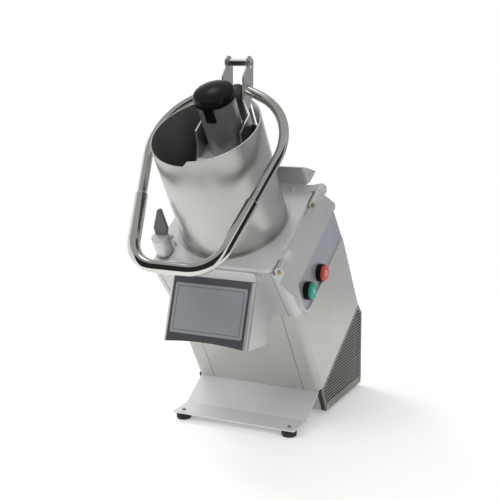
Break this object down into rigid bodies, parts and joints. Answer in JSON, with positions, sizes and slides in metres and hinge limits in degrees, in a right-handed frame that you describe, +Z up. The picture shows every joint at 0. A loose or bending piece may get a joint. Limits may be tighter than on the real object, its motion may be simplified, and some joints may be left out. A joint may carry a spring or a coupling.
{
  "type": "vegetable cutting machine",
  "caption": "Counter-top vegetable cutter: leaning motor body on a wedge stand, hinged lid with a tall feed cylinder, hoop-handled pusher and front outlet spout.",
  "frame": {"origin": "middle of the bounding box on the table that the feet stand on", "axes": "+Z up, front of the machine with its outlet spout towards -Y, buttons on +X"},
  "size_m": [0.253, 0.5323, 0.6306],
  "materials": {
    "cast": "satin, fine bead-blasted casting",
    "paint": "light silver-grey enamel",
    "grille": "matt, finely grained",
    "stainless": "brushed",
    "polished": "polished stainless",
    "fastener": "turned",
    "label": "satin grey-blue, bare",
    "rubber": "matt",
    "black_plastic": "fine grain",
    "dark_plastic": "fine grain",
    "green": "gloss",
    "red": "gloss",
    "bronze": "turned",
    "steel": "turned",
    "motor_case": "satin"
  },
  "bodies": {
    "base": {"base_casting": "cast", "outlet_spout": "cast", "label_plate": "label", "left_side_panel": "paint", "right_side_panel": "paint", "front_panel": "paint", "rear_panel": "paint", "bottom_plate": "paint", "stand_frame": "paint", "left_louvre_cover": "grille", "right_louvre_cover": "grille", "foot_plate": "paint", "rubber_feet": "rubber", "cover_screws": "fastener", "hinge_pins": "fastener", "latch_stud": "fastener", "button_collars": "black_plastic", "contact_blocks": "dark_plastic", "bearing_housing": "cast", "spindle_bearings": "steel", "shaft_seal": "rubber", "motor_mount": "steel", "motor_housing": "motor_case", "drive_belt": "rubber", "capacitor": "motor_case", "control_box": "dark_plastic", "cable_gland": "black_plastic", "lid_switch": "black_plastic"},
    "lid": {"lid_plate": "cast", "feed_cylinder": "stainless", "lid_boss": "cast", "guide_housing": "cast", "guide_bush": "bronze", "guide_rod": "stainless", "housing_screws": "fastener"},
    "pusher": {"pusher_sleeve": "dark_plastic", "left_cheek": "stainless", "right_cheek": "stainless", "front_shelf": "cast", "pusher_plate": "cast", "feed_tube": "stainless", "cross_bar": "polished", "cross_bar_bolts": "polished", "hoop_tube": "polished", "hoop_grip": "polished"},
    "pestle": {"pestle": "black_plastic", "pestle_cap": "black_plastic"},
    "knob": {"knob_drum": "cast", "knob_wing": "dark_plastic"},
    "start_button": {"start_button": "green"},
    "stop_button": {"stop_button": "red"},
    "spindle": {"spindle_shaft": "steel", "spindle_pulley": "steel", "ejector_plate": "cast", "cutting_disc": "stainless", "disc_blade": "stainless"},
    "motor": {"motor_rotor": "steel", "motor_pulley": "steel"}
  },
  "joints": [
    {"name": "lid_hinge", "type": "hinge", "parent": "base", "child": "lid", "pos_m": [0.121, -0.03765, 0.35824], "axis": [0, 0.848, 0.5299], "range_deg": [0, 100]},
    {"name": "pusher_lift", "type": "slide", "parent": "lid", "child": "pusher", "axis": [0, -0.5299, 0.848], "range_m": [0, 0.19]},
    {"name": "pestle_lift", "type": "slide", "parent": "pusher", "child": "pestle", "axis": [0, -0.5299, 0.848], "range_m": [0, 0.15]},
    {"name": "knob_turn", "type": "hinge", "parent": "base", "child": "knob", "pos_m": [-0.093, -0.10454, 0.31055], "axis": [0, -0.5299, 0.848], "range_deg": [0, 90]},
    {"name": "start_press", "type": "slide", "parent": "base", "child": "start_button", "axis": [-1, 0, 0], "range_m": [0, 0.003], "stiffness_N_per_m": 500},
    {"name": "stop_press", "type": "slide", "parent": "base", "child": "stop_button", "axis": [-1, 0, 0], "range_m": [0, 0.003], "stiffness_N_per_m": 500},
    {"name": "spindle_spin", "type": "hinge", "parent": "base", "child": "spindle", "pos_m": [0, -0.035, 0.354], "axis": [0, -0.5299, 0.848], "continuous": true},
    {"name": "motor_spin", "type": "hinge", "parent": "base", "child": "motor", "pos_m": [0, 0.02606, 0.39215], "axis": [0, -0.5299, 0.848], "continuous": true}
  ],
  "couplings": [
    {"joint": "motor_spin", "follows": "spindle_spin", "ratio": 2.6667}
  ]
}
